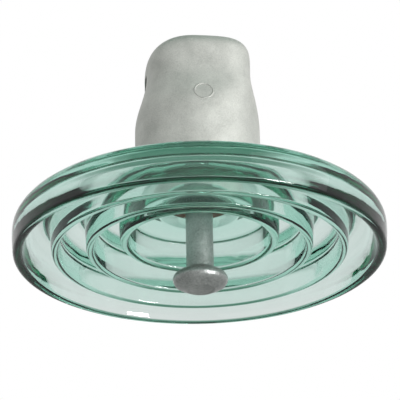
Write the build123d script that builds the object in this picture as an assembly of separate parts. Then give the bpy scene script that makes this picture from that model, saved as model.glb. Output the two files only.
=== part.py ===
from build123d import *
from math import copysign, cos, pi, radians, sin, sqrt, tan
import os

# One cap-and-pin disc of a suspension string, in millimetres, hanging along -Z.
# The origin is on the axis, at the edge where the socket's shank slot meets its ball seat.
# The socket's mouth faces +X and the window for its locking clip faces -X.

# Ball-and-socket coupling, size 20
spacing = 170.0
shank_diameter = 20.5
ball_diameter = 40.5
ball_height = 19.5
ball_land = 1.6
ball_pad_diameter = 23.4
ball_pad_height = 0.5
ball_pad_rounding = 0.3
shank_neck_rounding = 2.0
slot_width = 23.5
chamber_clearance = 1.5
seat_clearance = 0.25
seat_step = 3.8
seat_rounding_extra = 1.0
clip_wire = 4.0
clip_clearance = 0.5
clip_bend = 3.4
clip_leg_reach = 15.5
clip_leg_spread = 13.2
clip_tip_reach = 2.0
clip_loop_half = 5.6
clip_taper = 0.6

window_width = 17.0
window_height = 14.5
floor_rounding = 1.5
window_rounding = 3.5

# Toughened glass shell; heights are above the rim's lowest ring
shell_diameter = 280.0
ball_below_rim = 28.6
rim_shoulder_height = 28.7
rim_shoulder_rounding = 9.0
rim_foot_inset = 2.6
rim_foot_width = 6.8
rim_waist_height = 10.0
dome_slope = 17.0
glass_thickness = 10.5
rib_radii = (108.0, 81.9, 56.2)
rib_tip_heights = (3.2, 5.8, 13.2)
rib_tip_widths = (4.8, 5.2, 6.2)
rib_root_extra = 4.6
root_rounding = 5.0
land_height = 37.4
cavity_flare = 8.5
cavity_flare_height = 7.5
head_wall = 12.0
head_foot_rounding = 7.0
head_crown_rounding = 14.0
crown_thickness = 13.0
key_depth = 1.1
key_margin = 6.0
key_count = 3
cavity_crown_rounding = 9.0
edge_rounding = 2.0

# Cast cap; heights are above the rim's lowest ring
skirt_height = 68.0
skirt_wall = 5.0
shoulder_start = 105.5
shoulder_end = 147.0
hood_top = 176.5
hood_rear_wall = 18.45
hood_front_wall = 18.65
hood_side_wall = 17.55
hood_rear_rounding = 20.0
hood_front_rounding = 15.0
hood_side_rounding = 14.0
hood_rear_power = 2.6
hood_front_power = 4.0
hood_floor_thickness = 11.0
ceiling_inset = 4.5
ceiling_rounding = 8.0
skirt_levels = 7
blend_levels = 8
crown_levels = 6
plan_points = 40

# Cements, cushions and the bitumen film that parts cement from metal
bitumen_film = 0.3
cement_recess = 1.5
cap_cement_thickness = 4.7
pin_cement_thickness = 10.0
cushion_margin = 2.5
head_cushion_thickness = 2.5
pin_cushion_thickness = 2.0

# Embedded head of the pin
pin_head_radius = 16.5
pin_head_length = 26.0
pin_root_length = 14.0
pin_root_rounding = 20.0
pin_head_rounding = 4.0
pin_head_chamfer = 4.0
pin_head_chamfer_height = 6.0

# Levels, from the origin
coupled_ball_bottom = -seat_clearance - ball_height
socket_floor = coupled_ball_bottom - clip_wire - clip_clearance
ball_bottom = coupled_ball_bottom - spacing
rim_level = ball_bottom + ball_below_rim
cap_ceiling = socket_floor - hood_floor_thickness
head_top = cap_ceiling - head_cushion_thickness
cavity_top = head_top - crown_thickness
pin_top = cavity_top - pin_cushion_thickness
skirt_level = rim_level + skirt_height
land_level = rim_level + land_height
cement_face = land_level + cavity_flare_height
hood_level = rim_level + hood_top

# Radii that follow
shell_radius = shell_diameter / 2
shank_radius = shank_diameter / 2
ball_radius = ball_diameter / 2
slot_radius = slot_width / 2
chamber_radius = ball_radius + chamber_clearance
ball_rounding = (ball_height - ball_pad_height - ball_land) / 2
rim_foot_outer_radius = shell_radius - rim_foot_inset
cavity_radius = pin_head_radius + pin_cement_thickness
cavity_mouth_radius = cavity_radius + cavity_flare
head_radius = cavity_radius + head_wall
skirt_radius = head_radius + cap_cement_thickness + skirt_wall
hood_rear = chamber_radius + hood_rear_wall
hood_front = chamber_radius + hood_front_wall
hood_side = chamber_radius + hood_side_wall
head_cushion_radius = head_radius - head_crown_rounding - cushion_margin
pin_cushion_radius = pin_head_radius - pin_head_chamfer
seat_rounding = ball_rounding + seat_rounding_extra
beyond = shell_radius


def section(corners, plane=Plane.XZ):
    """Flat section from corners of (across, up, rounding); roundings that outgrow a side share it."""
    count = len(corners)
    places = [Vector(corner[0], corner[1]) for corner in corners]
    backs = [(places[i - 1] - places[i]).normalized() for i in range(count)]
    ons = [(places[(i + 1) % count] - places[i]).normalized() for i in range(count)]
    halves = [radians(back.get_angle(on) / 2) for back, on in zip(backs, ons)]
    wanted = [corners[i][2] / tan(halves[i]) for i in range(count)]
    shares = []
    for i in range(count):
        length = (places[(i + 1) % count] - places[i]).length
        shares.append(min(1, length / max(wanted[i] + wanted[(i + 1) % count], 1e-9)))
    starts, middles, ends = [], [], []
    for i in range(count):
        reach = wanted[i] * min(shares[i - 1], shares[i])
        rounding = reach * tan(halves[i])
        inward = (backs[i] + ons[i]).normalized()
        starts.append(places[i] + backs[i] * reach)
        middles.append(places[i] + inward * (rounding / sin(halves[i]) - rounding))
        ends.append(places[i] + ons[i] * reach)
    edges = []
    for i in range(count):
        following = starts[(i + 1) % count]
        if (ends[i] - starts[i]).length > 1e-6:
            edges.append(Edge.make_three_point_arc(starts[i], middles[i], ends[i]))
        if (following - ends[i]).length > 1e-6:
            edges.append(Edge.make_line(ends[i], following))
    return plane * Face(Wire(edges))


def turned(corners):
    """Solid turned about Z from corners of (radius, height, rounding)."""
    return revolve(section(corners, Plane.XZ), Axis.Z)


def dome(radius):
    """Height of the glass shell's upper face at a radius."""
    return rim_level + rim_shoulder_height + (shell_radius - radius) * tan(radians(dome_slope))


def underside(radius):
    """Height of the glass shell's lower face, between ribs, at a radius."""
    return dome(radius) - glass_thickness / cos(radians(dome_slope))


def keyed_wall(radius, low, high, depth):
    """Corners up a wall with shallow ring grooves that key into cement."""
    pitch = (high - low) / key_count
    corners = []
    for i in range(key_count):
        foot = low + (i + 0.1) * pitch
        corners.append((radius, foot, abs(depth)))
        corners.append((radius - depth, foot + pitch * 0.3, abs(depth)))
        corners.append((radius - depth, foot + pitch * 0.5, abs(depth)))
        corners.append((radius, foot + pitch * 0.8, abs(depth)))
    return corners


def rib(centre, tip_height, tip_width):
    """Corners down one side of an underside rib and up the other, from the outside in."""
    tip = rim_level + tip_height
    half_tip = tip_width / 2
    half_root = half_tip + rib_root_extra / 2
    return [
        (centre + half_root, underside(centre + half_root), root_rounding),
        (centre + half_tip, tip, half_tip),
        (centre - half_tip, tip, half_tip),
        (centre - half_root, underside(centre - half_root), root_rounding),
    ]


def make_glass_shell():
    head_foot = dome(head_radius)
    corners = [(0, head_top, 0), (head_radius, head_top, head_crown_rounding)]
    key_top = head_top - head_crown_rounding
    corners += reversed(keyed_wall(head_radius, skirt_level + key_margin, key_top, key_depth))
    corners += [
        (head_radius, head_foot, head_foot_rounding),
        (shell_radius, rim_level + rim_shoulder_height, rim_shoulder_rounding),
        (shell_radius, rim_level + rim_waist_height, rim_shoulder_rounding),
        (rim_foot_outer_radius, rim_level, rim_foot_width / 2),
        (rim_foot_outer_radius - rim_foot_width, rim_level, rim_foot_width / 2),
    ]
    rim_root = rim_foot_outer_radius - rim_foot_width - rib_root_extra
    corners.append((rim_root, underside(rim_root), root_rounding * 1.4))
    for centre, tip_height, tip_width in zip(rib_radii, rib_tip_heights, rib_tip_widths):
        corners += rib(centre, tip_height, tip_width)
    half_root = rib_tip_widths[-1] / 2 + rib_root_extra / 2
    corners[-1] = (rib_radii[-1] - half_root, land_level, root_rounding)
    corners += [
        (cavity_mouth_radius, land_level, edge_rounding),
        (cavity_radius, cement_face, edge_rounding),
    ]
    key_top = cavity_top - cavity_crown_rounding
    corners += keyed_wall(cavity_radius, cement_face + key_margin, key_top, -key_depth)
    corners += [(cavity_radius, cavity_top, cavity_crown_rounding), (0, cavity_top, 0)]
    return turned(corners)


def embedded_head(film):
    """Corners up the pin's root and embedded head, thicker by a film."""
    head_foot = pin_top - pin_head_length
    return [
        (shank_radius + film, head_foot - pin_root_length, pin_root_rounding),
        (pin_head_radius + film, head_foot + pin_head_length / 2, pin_head_rounding),
        (pin_head_radius + film, pin_top - pin_head_chamfer_height, edge_rounding),
        (pin_head_radius + film - pin_head_chamfer, pin_top, edge_rounding / 2),
        (0, pin_top, 0),
    ]


def make_pin():
    ball_top = ball_bottom + ball_height
    pad = ball_pad_diameter / 2
    ball = [
        (0, ball_bottom, 0),
        (pad, ball_bottom, ball_pad_rounding),
        (pad + ball_pad_height, ball_bottom + ball_pad_height, ball_pad_rounding),
        (ball_radius, ball_bottom + ball_pad_height, ball_rounding),
        (ball_radius, ball_top, ball_rounding),
        (shank_radius, ball_top, shank_neck_rounding),
    ]
    return turned(ball + embedded_head(0))


def cap_plan(level):
    """Plan of the cap's outside at one level: round on the skirt, squarer round the socket."""
    blend = (level - rim_level - shoulder_start) / (shoulder_end - shoulder_start)
    blend = (1 - cos(pi * min(max(blend, 0), 1))) / 2

    def reach(hood_reach, rounding):
        drop = max(level - (hood_level - rounding), 0)
        rounded = rounding - sqrt(max(rounding**2 - drop**2, 0))
        return skirt_radius + (hood_reach - skirt_radius) * blend - rounded

    side = reach(hood_side, hood_side_rounding)
    points = []
    for i in range(plan_points):
        turn = 2 * pi * i / plan_points
        across, along = cos(turn), sin(turn)
        if across > 0:
            length = reach(hood_front, hood_front_rounding)
            power = 2 + (hood_front_power - 2) * blend
        else:
            length = reach(hood_rear, hood_rear_rounding)
            power = 2 + (hood_rear_power - 2) * blend
        x = length * copysign(abs(across) ** (2 / power), across)
        y = side * copysign(abs(along) ** (2 / power), along)
        points.append((x, y, level))
    return make_face(Spline(*points, periodic=True))


def make_cap_outside():
    """Smooth casting, lofted through its plans from the skirt's edge to the top of the hood."""
    start = rim_level + shoulder_start
    end = rim_level + shoulder_end
    levels = [skirt_level + (start - skirt_level) * i / skirt_levels for i in range(skirt_levels)]
    levels += [start + (end - start) * i / blend_levels for i in range(blend_levels + 1)]
    rounding = max(hood_rear_rounding, hood_front_rounding, hood_side_rounding)
    for i in range(1, crown_levels + 1):
        levels.append(hood_level - rounding * (1 - sin(radians(90 * i / crown_levels))))
    return loft([cap_plan(level) for level in levels])


def cap_cavity(inset):
    """Hollow under the socket's floor, drawn in by an inset all round."""
    wall = skirt_radius - skirt_wall - inset
    top = cap_ceiling - inset
    corners = [(0, skirt_level - skirt_wall, 0), (wall, skirt_level - skirt_wall, 0)]
    shoulder = rim_level + shoulder_start
    corners += keyed_wall(wall, skirt_level + key_margin, shoulder - key_margin, -key_depth / 2)
    corners += [
        (wall, shoulder, ceiling_rounding),
        (wall - ceiling_inset, top, ceiling_rounding),
        (0, top, 0),
    ]
    return turned(corners)


def make_socket():
    """Everything the ball, its shank and the locking clip need cut out of the cap."""
    bowl = turned(
        [
            (0, socket_floor, 0),
            (chamber_radius, socket_floor, floor_rounding),
            (chamber_radius, 0, seat_rounding),
            (0, 0, 0),
        ]
    )
    mouth_section = section(
        [
            (-chamber_radius, socket_floor, floor_rounding),
            (chamber_radius, socket_floor, floor_rounding),
            (chamber_radius, -seat_step, seat_rounding),
            (-chamber_radius, -seat_step, seat_rounding),
        ],
        Plane.YZ,
    )
    mouth = extrude(mouth_section, beyond)
    slot_height = hood_level + ball_height
    slot_base = -ball_height / 2
    slot = Pos(0, 0, slot_base) * extrude(Circle(slot_radius), slot_height - slot_base)
    slot += Pos(beyond / 2, 0, (slot_height + slot_base) / 2) * Box(
        beyond, slot_width, slot_height - slot_base
    )
    window_section = section(
        [
            (-window_width / 2, socket_floor, floor_rounding),
            (window_width / 2, socket_floor, floor_rounding),
            (window_width / 2, socket_floor + window_height, window_rounding),
            (-window_width / 2, socket_floor + window_height, window_rounding),
        ],
        Plane.YZ,
    )
    window = extrude(window_section, -beyond)
    return bowl + mouth + slot + window


def make_cap():
    cap = make_cap_outside() - cap_cavity(0) - make_socket()
    return cap


def make_locking_clip():
    """Spring wire bent to a W: two legs under the ball and one loop out in the window."""
    level = socket_floor + clip_wire / 2 + clip_clearance / 2
    loop_end = clip_wire / 2 + clip_taper - hood_rear
    leg, loop = clip_leg_spread, clip_loop_half
    half = [
        (-clip_tip_reach, leg),
        (clip_leg_reach, leg - clip_taper),
        (clip_leg_reach, loop),
        (loop_end, loop - clip_taper),
    ]
    route = half + [(x, -y) for x, y in reversed(half)]
    path = FilletPolyline(*[(x, y, level) for x, y in route], radius=clip_bend)
    profile = Plane(origin=path @ 0, z_dir=path % 0) * Circle(clip_wire / 2)
    return sweep(profile, path)


def make_head_cushion():
    return Pos(0, 0, head_top) * extrude(Circle(head_cushion_radius), head_cushion_thickness)


def make_pin_cushion():
    return Pos(0, 0, pin_top) * extrude(Circle(pin_cushion_radius), pin_cushion_thickness)


def make_cap_cement(shell, cushion):
    foot = skirt_level + cement_recess
    room = Pos(0, 0, foot) * extrude(Circle(beyond), beyond)
    bore_radius = (cavity_radius + head_radius) / 2
    bore = Pos(0, 0, foot) * extrude(Circle(bore_radius), head_top - crown_thickness / 2 - foot)
    return (cap_cavity(bitumen_film) & room) - bore - shell - cushion


def make_pin_cement(shell, cushion):
    plug = turned(
        [
            (0, cement_face, 0),
            (head_radius - key_depth * 3, cement_face, 0),
            (head_radius - key_depth * 3, cavity_top, 0),
            (0, cavity_top, 0),
        ]
    )
    foot = [(0, land_level, 0), (shank_radius + bitumen_film, land_level, 0)]
    room = turned(foot + embedded_head(bitumen_film))
    return plug - shell - room - cushion


os.makedirs("parts", exist_ok=True)
glass_shell = make_glass_shell()
pin = make_pin()
head_cushion = make_head_cushion()
pin_cushion = make_pin_cushion()
parts = {
    "cap": make_cap(),
    "glass_shell": glass_shell,
    "pin": pin,
    "cap_cement": make_cap_cement(glass_shell, head_cushion),
    "pin_cement": make_pin_cement(glass_shell, pin_cushion),
    "head_cushion": head_cushion,
    "pin_cushion": pin_cushion,
    "locking_clip": make_locking_clip(),
}
for name, part in parts.items():
    print(name, len(part.solids()), round(part.volume / 1000, 1), part.bounding_box())
    export_step(part, f"parts/{name}.step")
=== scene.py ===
import math

import bmesh
import bpy
from bpy.props import FloatProperty, FloatVectorProperty, IntProperty, PointerProperty
from mathutils import Matrix, Vector
from mathutils.bvhtree import BVHTree


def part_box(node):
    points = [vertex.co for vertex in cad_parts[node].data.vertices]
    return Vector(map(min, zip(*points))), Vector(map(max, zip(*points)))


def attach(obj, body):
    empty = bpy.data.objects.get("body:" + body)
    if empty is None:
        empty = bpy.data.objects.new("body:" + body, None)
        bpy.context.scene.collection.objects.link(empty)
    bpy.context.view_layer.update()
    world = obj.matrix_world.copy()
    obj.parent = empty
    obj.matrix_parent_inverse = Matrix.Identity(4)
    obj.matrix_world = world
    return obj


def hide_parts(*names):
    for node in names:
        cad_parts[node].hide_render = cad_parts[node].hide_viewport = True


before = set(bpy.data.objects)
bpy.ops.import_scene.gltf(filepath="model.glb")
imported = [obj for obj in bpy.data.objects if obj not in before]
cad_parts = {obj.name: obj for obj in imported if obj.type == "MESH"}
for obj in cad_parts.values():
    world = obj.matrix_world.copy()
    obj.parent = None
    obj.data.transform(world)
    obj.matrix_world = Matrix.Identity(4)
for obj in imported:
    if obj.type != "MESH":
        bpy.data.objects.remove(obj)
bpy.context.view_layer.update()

bl_info = {
    "name": "Suspension Insulator Disc",
    "version": (1, 0, 0),
    "blender": (4, 5, 0),
    "location": "View3D > Sidebar > Insulator",
    "description": "Dresses a cap-and-pin glass insulator in its real finishes",
    "category": "Object",
}

MM = 0.001
shell_low, shell_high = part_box("glass_shell")
pin_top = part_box("pin")[1].z
cement_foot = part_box("pin_cement")[0].z


class ShellSettings(bpy.types.PropertyGroup):
    """Sizes and colours of the toughened glass shell. Heights are above the rim's lowest ring."""

    diameter: FloatProperty(
        name="Diameter", description="Across the rim", default=shell_high.x - shell_low.x, unit="LENGTH"
    )
    thickness: FloatProperty(
        name="Thickness", description="Of the glass between ribs", default=11.6 * MM, unit="LENGTH"
    )
    slope: FloatProperty(
        name="Dome slope", description="Fall of the dome to the rim",
        default=math.radians(20.4), subtype="ANGLE",
    )
    shoulder: FloatProperty(
        name="Shoulder height", description="Of the rim's outer shoulder", default=29.3 * MM, unit="LENGTH"
    )
    waist: FloatProperty(
        name="Waist height", description="Where the rim's outer side turns in to its foot",
        default=14.3 * MM, unit="LENGTH",
    )
    foot_inset: FloatProperty(
        name="Foot inset", description="Of the rim's foot from its edge", default=1.2 * MM, unit="LENGTH"
    )
    foot_width: FloatProperty(
        name="Foot width", description="Of the rim's foot", default=6.8 * MM, unit="LENGTH"
    )
    rib_radii: FloatVectorProperty(
        name="Rib radii", description="Middle of each rib, outermost first",
        default=(108 * MM, 81.9 * MM, 56.2 * MM), size=3, unit="LENGTH",
    )
    rib_heights: FloatVectorProperty(
        name="Rib tips", description="Height of each rib's tip", default=(3.2 * MM, 5.8 * MM, 13.2 * MM),
        size=3, unit="LENGTH",
    )
    rib_widths: FloatVectorProperty(
        name="Rib widths", description="Width of each rib's tip", default=(4.8 * MM, 5.2 * MM, 6.2 * MM),
        size=3, unit="LENGTH",
    )
    steps: IntProperty(name="Steps", description="Facets round the axis", default=168, min=24, max=240)
    tint: FloatVectorProperty(
        name="Tint", description="Colour that passes through the glass", default=(0.30, 0.78, 0.64),
        subtype="COLOR", min=0, max=1,
    )
    tint_density: FloatProperty(
        name="Tint density", description="How soon the colour deepens, per metre", default=22.0, min=0
    )
    refraction: FloatProperty(
        name="Refraction", description="Index of the glass", default=1.52, min=1, max=2
    )


class PinSettings(bpy.types.PropertyGroup):
    """Sizes of the forged pin. Heights are from the ball's flat foot."""

    ball_drop: FloatProperty(
        name="Ball drop", description="From the rim's lowest ring to the ball's foot",
        default=24.2 * MM, unit="LENGTH",
    )
    ball_diameter: FloatProperty(
        name="Ball diameter", description="Across the ball", default=41 * MM, unit="LENGTH"
    )
    ball_height: FloatProperty(
        name="Ball height", description="From the ball's foot to its neck", default=15.8 * MM, unit="LENGTH"
    )
    ball_slope: FloatProperty(
        name="Ball slope", description="Of the ball's upper and lower faces",
        default=math.radians(23.5), subtype="ANGLE",
    )
    ball_rounding: FloatProperty(
        name="Ball rounding", description="Radius of the ball's edges", default=5.6 * MM, unit="LENGTH"
    )
    pad_diameter: FloatProperty(
        name="Pad diameter", description="Of the flat pad under the ball", default=22.4 * MM, unit="LENGTH"
    )
    shank_diameter: FloatProperty(
        name="Shank diameter", description="Of the pin's shank", default=20.5 * MM, unit="LENGTH"
    )
    head_diameter: FloatProperty(
        name="Head diameter", description="Of the head set in the cement", default=33 * MM, unit="LENGTH"
    )
    steps: IntProperty(name="Steps", description="Facets round the axis", default=96, min=24, max=240)


class MetalSettings(bpy.types.PropertyGroup):
    """Colours and detail sizes of the metal fittings."""

    cap_light: FloatVectorProperty(
        name="Cap, light zinc", description="Lightest zinc on the cap", default=(0.62, 0.63, 0.59),
        subtype="COLOR", min=0, max=1,
    )
    cap_dark: FloatVectorProperty(
        name="Cap, dull zinc", description="Dullest zinc on the cap", default=(0.43, 0.44, 0.41),
        subtype="COLOR", min=0, max=1,
    )
    pin_light: FloatVectorProperty(
        name="Pin, light zinc", description="Lightest zinc on the pin", default=(0.56, 0.58, 0.565),
        subtype="COLOR", min=0, max=1,
    )
    pin_dark: FloatVectorProperty(
        name="Pin, dull zinc", description="Dullest zinc on the pin", default=(0.28, 0.295, 0.285),
        subtype="COLOR", min=0, max=1,
    )
    ring_radius: FloatProperty(
        name="Ring radius", description="Of the plain ring raised on the cap's side",
        default=7.0 * MM, unit="LENGTH",
    )
    ring_width: FloatProperty(
        name="Ring width", description="Width of the raised ring", default=1.6 * MM, unit="LENGTH"
    )
    ring_level: FloatProperty(
        name="Ring height", description="Height of the ring's middle, from the origin",
        default=-42.5 * MM, unit="LENGTH",
    )
    wire_light: FloatVectorProperty(
        name="Clip, bright wire", description="Brightest wire on the clip", default=(0.62, 0.62, 0.60),
        subtype="COLOR", min=0, max=1,
    )
    wire_dark: FloatVectorProperty(
        name="Clip, dull wire", description="Dullest wire on the clip", default=(0.45, 0.45, 0.43),
        subtype="COLOR", min=0, max=1,
    )


class StageSettings(bpy.types.PropertyGroup):
    """Light, floor and camera."""

    azimuth: FloatProperty(
        name="Azimuth", description="Of the camera round the axis", default=math.radians(-7), subtype="ANGLE"
    )
    distance: FloatProperty(
        name="Distance", description="Of the camera from the middle of the rim's lowest ring",
        default=1.2, unit="LENGTH",
    )
    drop: FloatProperty(
        name="Drop", description="Of the camera below the rim, as an angle",
        default=math.radians(22.845), subtype="ANGLE",
    )
    pitch: FloatProperty(
        name="Pitch", description="Of the view above level", default=math.radians(24.964), subtype="ANGLE"
    )
    yaw: FloatProperty(
        name="Yaw", description="Of the view from the object's axis",
        default=math.radians(-0.048), subtype="ANGLE",
    )
    roll: FloatProperty(
        name="Roll", description="Of the camera about its view", default=math.radians(-1.192), subtype="ANGLE"
    )
    lens: FloatProperty(name="Lens", description="Focal length", default=144.77, unit="CAMERA")
    floor_drop: FloatProperty(
        name="Floor drop", description="Floor below the origin", default=1.9, unit="LENGTH"
    )
    floor_colour: FloatVectorProperty(
        name="Floor", description="Pale floor", default=(0.86, 0.86, 0.85), subtype="COLOR", min=0, max=1
    )
    key_power: FloatProperty(
        name="Key power", description="Of the large side lamp", default=10, unit="POWER"
    )
    fill_power: FloatProperty(
        name="Fill power", description="Of the low front lamp", default=20, unit="POWER"
    )


# Shapes


def new_piece(name, bm, finish, body="insulator"):
    """Object at the origin made from a bmesh, riding on its body, smooth all over."""
    mesh = bpy.data.meshes.new(name)
    for face in bm.faces:
        face.smooth = True
    bm.to_mesh(mesh)
    bm.free()
    piece = bpy.data.objects.new(name, mesh)
    bpy.context.scene.collection.objects.link(piece)
    mesh.materials.append(finish)
    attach(piece, body)
    return piece


def rounded_outline(corners, segments=6):
    """Open outline in the XZ plane from corners of (radius, height, rounding), as a bmesh."""
    bm = bmesh.new()
    places = [Vector((corner[0], 0, corner[1])) for corner in corners]
    verts = [bm.verts.new(place) for place in places]
    for first, second in zip(verts, verts[1:]):
        bm.edges.new((first, second))
    last = len(corners) - 1
    wanted = [0.0] * len(corners)
    for i in range(1, last):
        back = (places[i - 1] - places[i]).normalized()
        on = (places[i + 1] - places[i]).normalized()
        wanted[i] = corners[i][2] / math.tan(back.angle(on) / 2)
    shares = []
    for i in range(last):
        length = (places[i + 1] - places[i]).length
        shares.append(min(1, 0.9999 * length / max(wanted[i] + wanted[i + 1], 1e-9)))
    for i in range(1, last):
        reach = wanted[i] * min(shares[i - 1], shares[i])
        if reach > 1e-6:
            bmesh.ops.bevel(
                bm, geom=[verts[i]], offset=reach, offset_type="OFFSET", segments=segments,
                profile=0.5, affect="VERTICES", clamp_overlap=False, material=-1,
            )
    bmesh.ops.remove_doubles(bm, verts=bm.verts[:], dist=2e-6)
    return bm


def turn(bm, steps):
    """Spins an outline once round Z into a closed skin that faces outwards."""
    bmesh.ops.spin(
        bm, geom=bm.verts[:] + bm.edges[:], cent=(0, 0, 0), axis=(0, 0, 1), dvec=(0, 0, 0),
        angle=2 * math.pi, steps=steps, use_merge=True, use_duplicate=False,
    )
    bmesh.ops.remove_doubles(bm, verts=bm.verts[:], dist=2e-6)
    bmesh.ops.recalc_face_normals(bm, faces=bm.faces[:])
    return bm


def merged_copy(node):
    """A CAD node's skin as a bmesh with its doubled corners joined."""
    bm = bmesh.new()
    bm.from_mesh(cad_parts[node].data)
    bmesh.ops.remove_doubles(bm, verts=bm.verts[:], dist=2e-6)
    return bm


def soften(piece, angle):
    """Keeps edges sharper than an angle crisp."""
    piece.data.set_sharp_from_angle(angle=angle)


def keyed_wall(radius, low, high, depth, count=3):
    """Corners up a wall with shallow ring grooves, each from a tenth to nine tenths of its pitch."""
    pitch = (high - low) / count
    corners = []
    for i in range(count):
        foot = low + (i + 0.1) * pitch
        for share, across in ((0.0, radius), (0.3, radius - depth), (0.5, radius - depth), (0.8, radius)):
            corners.append((across, foot + pitch * share, abs(depth)))
    return corners


def shell_outline(settings):
    """Corners of the glass shell's section, from the crown of its head round to its cavity."""
    rim = shell_low.z
    radius = settings.diameter / 2
    head_top = shell_high.z

    def dome(at):
        return rim + settings.shoulder + (radius - at) * math.tan(settings.slope)

    def underside(at):
        return dome(at) - settings.thickness / math.cos(settings.slope)

    head_radius, head_crown, neck_rounding = 38.5 * MM, 14 * MM, 7 * MM
    key_depth, key_margin = 1.1 * MM, 6 * MM
    cap_skirt = rim + 68 * MM
    corners = [(0, head_top, 0), (head_radius, head_top, head_crown)]
    corners += reversed(keyed_wall(head_radius, cap_skirt + key_margin, head_top - head_crown, key_depth))

    shoulder_rounding, waist_rounding = 14.7 * MM, 9 * MM
    foot, foot_width = radius - settings.foot_inset, settings.foot_width
    rim_root, rim_root_rounding = foot - foot_width - 3.8 * MM, 9.1 * MM
    corners += [
        (head_radius, dome(head_radius), neck_rounding),
        (radius, rim + settings.shoulder, shoulder_rounding),
        (radius, rim + settings.waist, waist_rounding),
        (foot, rim, foot_width / 2),
        (foot - foot_width, rim, foot_width / 2),
        (rim_root, underside(rim_root), rim_root_rounding),
    ]

    root_spread, root_rounding = 2.3 * MM, 5 * MM
    for middle, tip, width in zip(settings.rib_radii, settings.rib_heights, settings.rib_widths):
        half = width / 2
        outer, inner = middle + half + root_spread, middle - half - root_spread
        corners += [
            (outer, underside(outer), root_rounding),
            (middle + half, rim + tip, half),
            (middle - half, rim + tip, half),
            (inner, underside(inner), root_rounding),
        ]

    land = rim + 37.4 * MM
    corners[-1] = (corners[-1][0], land, root_rounding)
    cavity, mouth, cavity_crown = 26.5 * MM, 30.5 * MM, 9 * MM
    cement_face = land + 7.5 * MM
    cavity_top = head_top - 13 * MM
    corners += [(mouth, land, 1.5 * MM), (cavity, cement_face, 2 * MM)]
    corners += keyed_wall(cavity, cement_face + key_margin, cavity_top - cavity_crown, -key_depth)
    corners += [(cavity, cavity_top, cavity_crown), (0, cavity_top, 0)]
    return corners


def pin_outline(settings):
    """Corners of the pin's section, from the foot of its ball up to the head in the cement."""
    foot = shell_low.z - settings.ball_drop
    neck = foot + settings.ball_height
    ball, shank, head = settings.ball_diameter / 2, settings.shank_diameter / 2, settings.head_diameter / 2
    pad, step, groove = settings.pad_diameter / 2, 0.5 * MM, 0.35 * MM
    groove_edge, step_edge = 0.2 * MM, 0.3 * MM
    rise = math.tan(settings.ball_slope)
    head_length, root_length, chamfer, chamfer_height = 26 * MM, 14 * MM, 4 * MM, 6 * MM
    return [
        (0, foot, 0),
        (pad - 2.7 * MM, foot, groove_edge),
        (pad - 2.4 * MM, foot + groove, groove_edge),
        (pad - 2.0 * MM, foot + groove, groove_edge),
        (pad - 1.7 * MM, foot, groove_edge),
        (pad, foot, step_edge),
        (pad + step, foot + step, step_edge),
        (ball, foot + step + (ball - pad - step) * rise, settings.ball_rounding),
        (ball, neck - (ball - shank) * rise, settings.ball_rounding),
        (shank, neck, 2.4 * MM),
        (shank, pin_top - head_length - root_length, 20 * MM),
        (head, pin_top - head_length / 2, 4 * MM),
        (head, pin_top - chamfer_height, 2 * MM),
        (head - chamfer, pin_top, 1 * MM),
        (0, pin_top, 0),
    ]


def raised_ring(settings, surface):
    """Plain ring laid on the cap's side, bent to its surface."""
    bm = bmesh.new()
    upright = Matrix.Rotation(math.pi / 2, 4, "X")
    bmesh.ops.create_circle(
        bm, segments=12, radius=settings.ring_width / 2,
        matrix=Matrix.Translation((settings.ring_radius, 0, 0)) @ upright,
    )
    bmesh.ops.spin(
        bm, geom=bm.verts[:] + bm.edges[:], cent=(0, 0, 0), axis=(0, 0, 1), dvec=(0, 0, 0),
        angle=2 * math.pi, steps=64, use_merge=True, use_duplicate=False,
    )
    bmesh.ops.scale(bm, vec=(1, 1, 0.8), verts=bm.verts[:])
    bmesh.ops.rotate(bm, cent=(0, 0, 0), matrix=Matrix.Rotation(math.pi / 2, 3, "X"), verts=bm.verts[:])
    bmesh.ops.translate(bm, vec=(0, 0, settings.ring_level), verts=bm.verts[:])
    for vert in bm.verts:
        hit = surface.ray_cast(Vector((vert.co.x, -0.1, vert.co.z)), Vector((0, 1, 0)))[0]
        if hit is None:
            raise RuntimeError("the raised ring reaches past the cap's side")
        vert.co.y += hit.y
    bmesh.ops.recalc_face_normals(bm, faces=bm.faces[:])
    return bm


# Finishes


def node_maker(tree):
    """A function that adds a node to a tree, with its inputs and settings."""

    def add(kind, inputs=(), **values):
        node = tree.nodes.new(kind)
        for key, value in values.items():
            setattr(node, key, value)
        for key, value in dict(inputs).items():
            if isinstance(value, bpy.types.NodeSocket):
                tree.links.new(value, node.inputs[key])
            else:
                node.inputs[key].default_value = value
        return node

    return add


def start_finish(name):
    """A material with its Principled shader, its object coordinates, a node maker and a link maker."""
    finish = bpy.data.materials.new(name)
    finish.use_nodes = True
    tree = finish.node_tree
    shader = tree.nodes["Principled BSDF"]
    add = node_maker(tree)
    place = add("ShaderNodeTexCoord").outputs["Object"]

    def join(output, key):
        tree.links.new(output, shader.inputs[key])

    return finish, shader, place, add, join


def ramp(add, factor, stops):
    """Colour ramp node through three or more stops of (position, colour), from low to high."""
    node = add("ShaderNodeValToRGB", {"Fac": factor})
    marks = node.color_ramp.elements
    marks[0].position, marks[1].position = stops[0][0], stops[-1][0]
    for position, _ in stops[1:-1]:
        marks.new(position)
    for mark, (_, colour) in zip(marks, stops):
        mark.color = (*colour, 1)
    return node.outputs["Color"]


def scale_range(add, value, low, high, start=0.3, end=0.7):
    """Maps a noise value to a range of a shader input."""
    node = add(
        "ShaderNodeMapRange",
        {"Value": value, "From Min": start, "From Max": end, "To Min": low, "To Max": high},
    )
    return node.outputs["Result"]


def noise(add, place, scale, detail=3.0, roughness=0.55):
    """Noise value over a surface."""
    node = add(
        "ShaderNodeTexNoise", {"Vector": place, "Scale": scale, "Detail": detail, "Roughness": roughness}
    )
    return node.outputs["Fac"]


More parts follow.
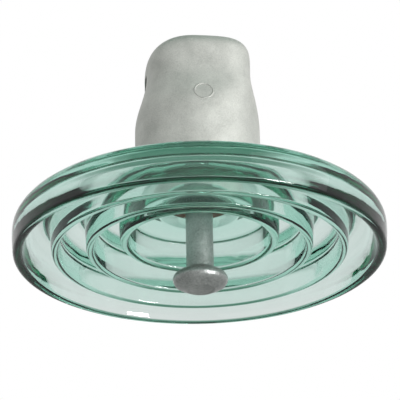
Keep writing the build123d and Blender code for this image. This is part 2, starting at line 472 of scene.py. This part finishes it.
def green_glass(settings):
    """Fire-polished toughened glass, tinted through its depth."""
    finish, shader, place, add, join = start_finish("green_glass")
    shader.inputs["Base Color"].default_value = (1, 1, 1, 1)
    shader.inputs["Transmission Weight"].default_value = 1.0
    shader.inputs["IOR"].default_value = settings.refraction
    join(scale_range(add, noise(add, place, 60.0), 0.015, 0.055), "Roughness")
    ripple = noise(add, place, 45.0, 1.0)
    bump = add("ShaderNodeBump", {"Height": ripple, "Strength": 0.25, "Distance": 0.0012})
    join(bump.outputs["Normal"], "Normal")
    depth = add("ShaderNodeVolumeAbsorption")
    depth.inputs["Color"].default_value = (*settings.tint, 1)
    depth.inputs["Density"].default_value = settings.tint_density
    tree = finish.node_tree
    tree.links.new(depth.outputs["Volume"], tree.nodes["Material Output"].inputs["Volume"])
    return finish


def zinc(name, light, dull, roughness, grain_scale, grain_depth, metallic):
    """Hot-dip zinc over a casting or forging: mottled, grained and a little worn."""
    finish, shader, place, add, join = start_finish(name)
    cloud = noise(add, place, 55.0, 4.0, 0.6)
    speckle = noise(add, place, grain_scale, 2.0, 0.7)
    mix = add("ShaderNodeMath", {0: cloud, 1: speckle}, operation="ADD")
    half = add("ShaderNodeMath", {0: mix.outputs[0], 1: 0.5}, operation="MULTIPLY")
    middle = [(a + b) / 2 for a, b in zip(light, dull)]
    join(ramp(add, half.outputs[0], [(0.36, dull), (0.5, middle), (0.66, light)]), "Base Color")
    join(scale_range(add, speckle, roughness - 0.08, roughness + 0.1), "Roughness")
    shader.inputs["Metallic"].default_value = metallic
    swell = add("ShaderNodeBump", {"Height": cloud, "Strength": 0.35, "Distance": 0.0012})
    grain = add(
        "ShaderNodeBump",
        {"Height": speckle, "Strength": 0.6, "Distance": grain_depth, "Normal": swell.outputs["Normal"]},
    )
    join(grain.outputs["Normal"], "Normal")
    return finish


def cement_finish():
    """Pale hardened cement with sand in it, its open face round the pin browned by bitumen."""
    finish, _, place, add, join = start_finish("hard_cement")
    patch = noise(add, place, 130.0, 5.0, 0.65)
    marks = (0.3, 0.55, 0.75)
    pale = ramp(add, patch, list(zip(marks, ((0.52, 0.51, 0.47), (0.68, 0.67, 0.62), (0.80, 0.79, 0.74)))))
    brown = ramp(add, patch, list(zip(marks, ((0.20, 0.12, 0.09), (0.38, 0.27, 0.21), (0.5, 0.42, 0.36)))))
    level = add("ShaderNodeSeparateXYZ", {0: place}).outputs["Z"]
    clean = scale_range(add, level, 0.0, 1.0, cement_foot + 0.6 * MM, cement_foot + 1.6 * MM)
    join(add("ShaderNodeMix", {0: clean, 6: brown, 7: pale}, data_type="RGBA").outputs[2], "Base Color")
    join(scale_range(add, patch, 0.75, 0.95), "Roughness")
    sand = noise(add, place, 1500.0, 2.0)
    bump = add("ShaderNodeBump", {"Height": sand, "Strength": 0.7, "Distance": 0.0004})
    join(bump.outputs["Normal"], "Normal")
    return finish


def fibre_finish():
    """Pressed fibre board."""
    finish, _, place, add, join = start_finish("pressed_fibre_board")
    fleck = noise(add, place, 700.0, 4.0, 0.7)
    board = [(0.3, (0.22, 0.13, 0.07)), (0.6, (0.42, 0.29, 0.17)), (0.8, (0.55, 0.42, 0.28))]
    join(ramp(add, fleck, board), "Base Color")
    join(scale_range(add, fleck, 0.7, 0.9), "Roughness")
    bump = add("ShaderNodeBump", {"Height": fleck, "Strength": 0.5, "Distance": 0.0003})
    join(bump.outputs["Normal"], "Normal")
    return finish


# Operators


class INSULATOR_OT_glass_shell(bpy.types.Operator):
    """Turn the glass shell with its rim, ribs and head"""

    bl_idname = "insulator.glass_shell"
    bl_label = "Glass shell"

    def execute(self, context):
        settings = context.scene.insulator_shell
        bm = turn(rounded_outline(shell_outline(settings)), settings.steps)
        shell = new_piece("glass_disc", bm, green_glass(settings))
        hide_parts("glass_shell")
        return {"FINISHED"}


class INSULATOR_OT_cap(bpy.types.Operator):
    """Finish the cast cap and lay its plain ring"""

    bl_idname = "insulator.cap"
    bl_label = "Cast cap"

    def execute(self, context):
        settings = context.scene.insulator_metal
        finish = zinc(
            "cast_zinc", settings.cap_light, settings.cap_dark,
            roughness=0.52, grain_scale=900.0, grain_depth=0.4 * MM, metallic=0.55,
        )
        bm = merged_copy("cap")
        surface = BVHTree.FromBMesh(bm)
        new_piece("cap_ring", raised_ring(settings, surface), finish)
        cap = new_piece("cap_casting", bm, finish)
        soften(cap, math.radians(32))
        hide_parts("cap")
        return {"FINISHED"}


class INSULATOR_OT_pin(bpy.types.Operator):
    """Finish the forged pin and its ball"""

    bl_idname = "insulator.pin"
    bl_label = "Ball-ended pin"

    def execute(self, context):
        settings, metal = context.scene.insulator_pin, context.scene.insulator_metal
        finish = zinc(
            "forged_zinc", metal.pin_light, metal.pin_dark,
            roughness=0.36, grain_scale=650.0, grain_depth=0.3 * MM, metallic=0.75,
        )
        bm = turn(rounded_outline(pin_outline(settings), 8), settings.steps)
        pin = new_piece("ball_pin", bm, finish)
        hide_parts("pin")
        return {"FINISHED"}


class INSULATOR_OT_cements(bpy.types.Operator):
    """Finish both cements"""

    bl_idname = "insulator.cements"
    bl_label = "Cements"

    def execute(self, context):
        finish = cement_finish()
        for node in ("cap_cement", "pin_cement"):
            collar = new_piece(node + "_set", merged_copy(node), finish)
            soften(collar, math.radians(40))
            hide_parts(node)
        return {"FINISHED"}


class INSULATOR_OT_cushions(bpy.types.Operator):
    """Finish the pressed fibre cushions"""

    bl_idname = "insulator.cushions"
    bl_label = "Cushions"

    def execute(self, context):
        finish = fibre_finish()
        for node in ("head_cushion", "pin_cushion"):
            disc = new_piece(node + "_disc", merged_copy(node), finish)
            soften(disc, math.radians(40))
            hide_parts(node)
        return {"FINISHED"}


class INSULATOR_OT_locking_clip(bpy.types.Operator):
    """Finish the sprung locking clip"""

    bl_idname = "insulator.locking_clip"
    bl_label = "Locking clip"

    def execute(self, context):
        settings = context.scene.insulator_metal
        finish = zinc(
            "drawn_wire", settings.wire_light, settings.wire_dark,
            roughness=0.28, grain_scale=1800.0, grain_depth=0.08 * MM, metallic=0.95,
        )
        clip = new_piece("clip_wire", merged_copy("locking_clip"), finish, "clip")
        soften(clip, math.radians(40))
        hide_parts("locking_clip")
        return {"FINISHED"}


def lay_floor(settings):
    """Wide pale floor. Glass sees it evenly lit, and gloss and the camera see it partly so."""
    bm = bmesh.new()
    bmesh.ops.create_grid(bm, x_segments=2, y_segments=2, size=9)
    bmesh.ops.translate(bm, vec=(0, 0, -settings.floor_drop), verts=bm.verts[:])
    mesh = bpy.data.meshes.new("floor")
    bm.to_mesh(mesh)
    bm.free()
    floor = bpy.data.objects.new("floor", mesh)
    bpy.context.scene.collection.objects.link(floor)

    paper, shader, place, add, join = start_finish("pale_floor")
    fleck = noise(add, place, 3.0)
    low, high = [0.97 * c for c in settings.floor_colour], tuple(settings.floor_colour)
    middle = [(a + b) / 2 for a, b in zip(low, high)]
    pale = ramp(add, fleck, [(0.3, low), (0.5, middle), (0.7, high)])
    rays = add("ShaderNodeLightPath").outputs
    camera_ray, glossy_ray = rays["Is Camera Ray"], rays["Is Glossy Ray"]
    glass_ray = rays["Is Transmission Ray"]
    shaded = add("ShaderNodeMix", {0: camera_ray, 6: (0.32, 0.32, 0.32, 1), 7: pale}, data_type="RGBA")
    join(shaded.outputs[2], "Base Color")
    shader.inputs["Roughness"].default_value = 0.9
    glow = add("ShaderNodeEmission", {"Color": pale, "Strength": 0.85}).outputs[0]
    gloss = add("ShaderNodeMath", {0: glossy_ray, 1: 0.35, 2: glass_ray}, operation="MULTIPLY_ADD").outputs[0]
    seen = add("ShaderNodeMath", {0: camera_ray, 1: 0.75, 2: gloss}, operation="MULTIPLY_ADD").outputs[0]
    lit = add("ShaderNodeMixShader", {0: seen, 1: shader.outputs[0], 2: glow}).outputs[0]
    tree = paper.node_tree
    tree.links.new(lit, tree.nodes["Material Output"].inputs["Surface"])
    mesh.materials.append(paper)


def soft_lamp(name, place, target, size, power):
    """Round lamp at a place, aimed at a target and unseen through the glass."""
    lamp = bpy.data.lights.new(name, "AREA")
    lamp.shape = "DISK"
    lamp.size = size
    lamp.energy = power
    holder = bpy.data.objects.new(name, lamp)
    bpy.context.scene.collection.objects.link(holder)
    holder.location = place
    holder.rotation_mode = "QUATERNION"
    holder.rotation_quaternion = (Vector(target) - Vector(place)).to_track_quat("-Z", "Y")
    holder.visible_transmission = False


def light_room(settings):
    """White behind the object, and a soft room round it that turns a dim green overhead."""
    world = bpy.data.worlds.new("studio")
    world.use_nodes = True
    bpy.context.scene.world = world
    world.node_tree.nodes.clear()
    add = node_maker(world.node_tree)
    place = add("ShaderNodeTexCoord").outputs["Generated"]
    height = add("ShaderNodeSeparateXYZ", {0: place}).outputs["Z"]
    share = scale_range(add, height, 0.0, 1.0, -1.0, 1.0)
    low, level, high = (0.40,) * 3, (0.76,) * 3, (0.80,) * 3
    overhead = (0.12, 0.25, 0.195)
    shade = ramp(add, share, [(0.30, low), (0.60, level), (0.85, high), (0.95, overhead)])
    room = add("ShaderNodeBackground", {"Color": shade, "Strength": 1.0}).outputs[0]
    backdrop = add("ShaderNodeBackground", {"Color": (1, 1, 1, 1)}).outputs[0]
    seen = add("ShaderNodeLightPath").outputs["Is Camera Ray"]
    blend = add("ShaderNodeMixShader", {0: seen, 1: room, 2: backdrop}).outputs[0]
    add("ShaderNodeOutputWorld", {"Surface": blend})
    soft_lamp(
        "key_softbox", place=(1.9, -1.6, 1.1), target=(0, 0, -0.08), size=2.4, power=settings.key_power
    )
    soft_lamp(
        "front_softbox", place=(0.95, -1.25, -0.42), target=(0, 0, -0.15), size=0.5, power=settings.fill_power
    )


def stand_camera(settings):
    """Camera below the disc, swung with its azimuth about the object's axis."""
    rim = Matrix.Translation((0, 0, shell_low.z))
    swing = Matrix.Rotation(settings.azimuth, 4, "Z")
    back = Vector((0, -math.cos(settings.drop), -math.sin(settings.drop))) * settings.distance
    yaw = Matrix.Rotation(settings.yaw, 4, "Z")
    pitch = Matrix.Rotation(math.pi / 2 + settings.pitch, 4, "X")
    roll = Matrix.Rotation(settings.roll, 4, "Z")
    camera = bpy.data.objects.new("camera", bpy.data.cameras.new("camera"))
    bpy.context.scene.collection.objects.link(camera)
    camera.matrix_world = rim @ swing @ Matrix.Translation(back) @ yaw @ pitch @ roll
    camera.data.sensor_width = 36
    camera.data.lens = settings.lens
    camera.data.clip_start, camera.data.clip_end = 0.05, 30
    bpy.context.scene.camera = camera


class INSULATOR_OT_stage(bpy.types.Operator):
    """Set the floor, light and camera"""

    bl_idname = "insulator.stage"
    bl_label = "Stage"

    def execute(self, context):
        scene = context.scene
        settings = scene.insulator_stage
        scene.view_settings.view_transform = "Standard"
        lay_floor(settings)
        light_room(settings)
        stand_camera(settings)
        scene.cycles.max_bounces = 24
        scene.cycles.transmission_bounces = 20
        scene.cycles.transparent_max_bounces = 16
        return {"FINISHED"}


class INSULATOR_PT_panel(bpy.types.Panel):
    """The pieces, in the order in which they are made"""

    bl_label = "Insulator"
    bl_idname = "INSULATOR_PT_panel"
    bl_space_type = "VIEW_3D"
    bl_region_type = "UI"
    bl_category = "Insulator"

    def draw(self, context):
        for maker in MAKERS:
            self.layout.operator(maker.bl_idname)
        for key, kind in SETTINGS.items():
            for name in kind.__annotations__:
                self.layout.prop(getattr(context.scene, key), name)


MAKERS = (
    INSULATOR_OT_glass_shell,
    INSULATOR_OT_cap,
    INSULATOR_OT_pin,
    INSULATOR_OT_cements,
    INSULATOR_OT_cushions,
    INSULATOR_OT_locking_clip,
    INSULATOR_OT_stage,
)
SETTINGS = {
    "insulator_shell": ShellSettings,
    "insulator_pin": PinSettings,
    "insulator_metal": MetalSettings,
    "insulator_stage": StageSettings,
}


def register():
    for kind in (*SETTINGS.values(), *MAKERS, INSULATOR_PT_panel):
        bpy.utils.register_class(kind)
    for name, kind in SETTINGS.items():
        setattr(bpy.types.Scene, name, PointerProperty(type=kind))


def unregister():
    for name in SETTINGS:
        delattr(bpy.types.Scene, name)
    for kind in reversed((*SETTINGS.values(), *MAKERS, INSULATOR_PT_panel)):
        bpy.utils.unregister_class(kind)


def main():
    register()
    bpy.ops.insulator.glass_shell()
    bpy.ops.insulator.cap()
    bpy.ops.insulator.pin()
    bpy.ops.insulator.cements()
    bpy.ops.insulator.cushions()
    bpy.ops.insulator.locking_clip()
    bpy.ops.insulator.stage()


if __name__ == "__main__":
    main()
